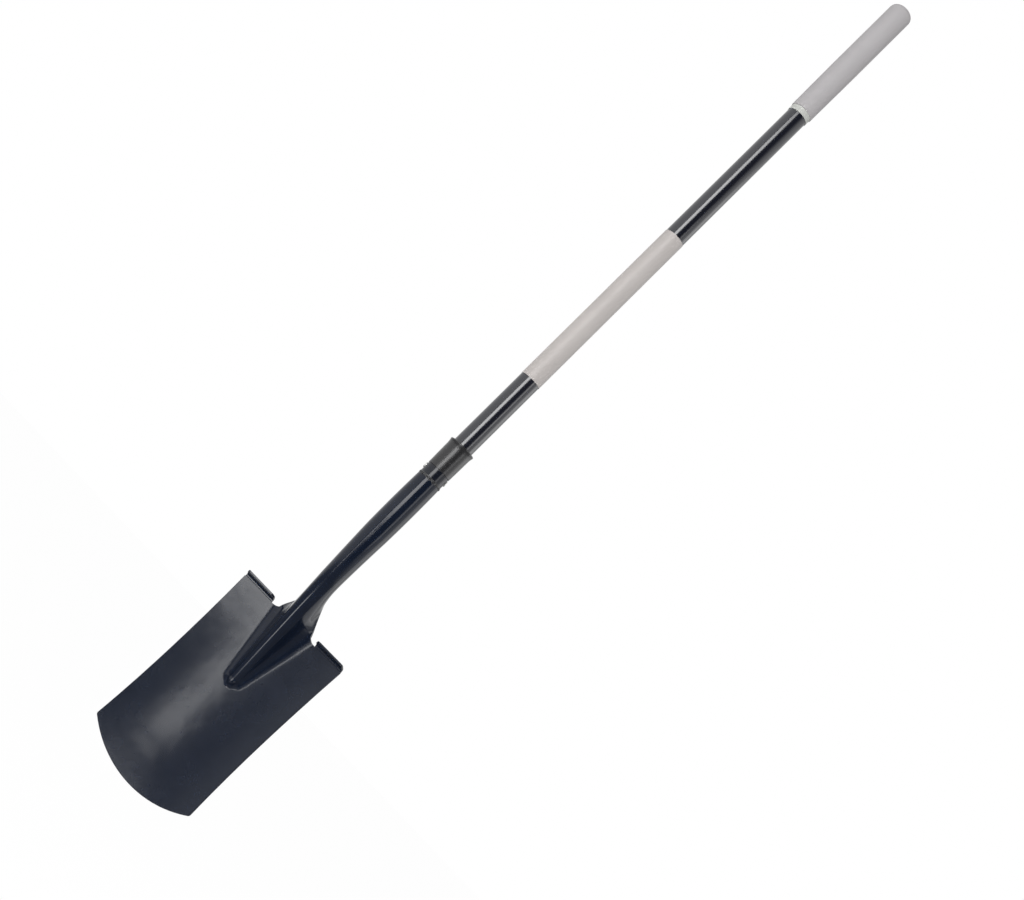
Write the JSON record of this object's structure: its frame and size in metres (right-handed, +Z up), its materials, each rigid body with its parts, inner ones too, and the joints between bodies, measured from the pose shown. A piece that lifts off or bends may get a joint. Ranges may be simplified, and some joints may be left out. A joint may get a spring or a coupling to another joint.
{
  "type": "digging spade",
  "caption": "Long-handled digging spade: dished steel blade with turned treads and a hollow frog, rolled socket riveted to a composite tube shaft, soft straight hand grip",
  "frame": {"origin": "on the shaft's axis, at the middle of the round part of the hand grip", "axes": "+Z runs up the shaft from the blade to the grip, +X runs across the blade, the blade's working face looks towards -Y"},
  "size_m": [0.192, 0.0524, 1.5225],
  "materials": {
    "blade_paint": "satin blue-black paint",
    "ferrule_paint": "satin black paint",
    "weld_metal": "rough weld under thin black paint",
    "rivet_metal": "bright hammered head",
    "collar_plastic": "satin black moulding",
    "shaft_composite": "glossy black resin skin",
    "core_wood": "plain turned dowel",
    "sleeve_film": "warm light grey film",
    "liner_plastic": "pale grey moulding",
    "grip_rubber": "soft matte light grey cover",
    "plug_plastic": "plain black moulding"
  },
  "bodies": {
    "root": {"head": "blade_paint", "socket_ferrule": "ferrule_paint", "weld_bead": "weld_metal", "rivet": "rivet_metal", "socket_collar": "collar_plastic", "shaft_tube": "shaft_composite", "shaft_core": "core_wood", "label_sleeve": "sleeve_film", "grip_liner": "liner_plastic", "grip": "grip_rubber", "end_plug": "plug_plastic"}
  },
  "joints": []
}
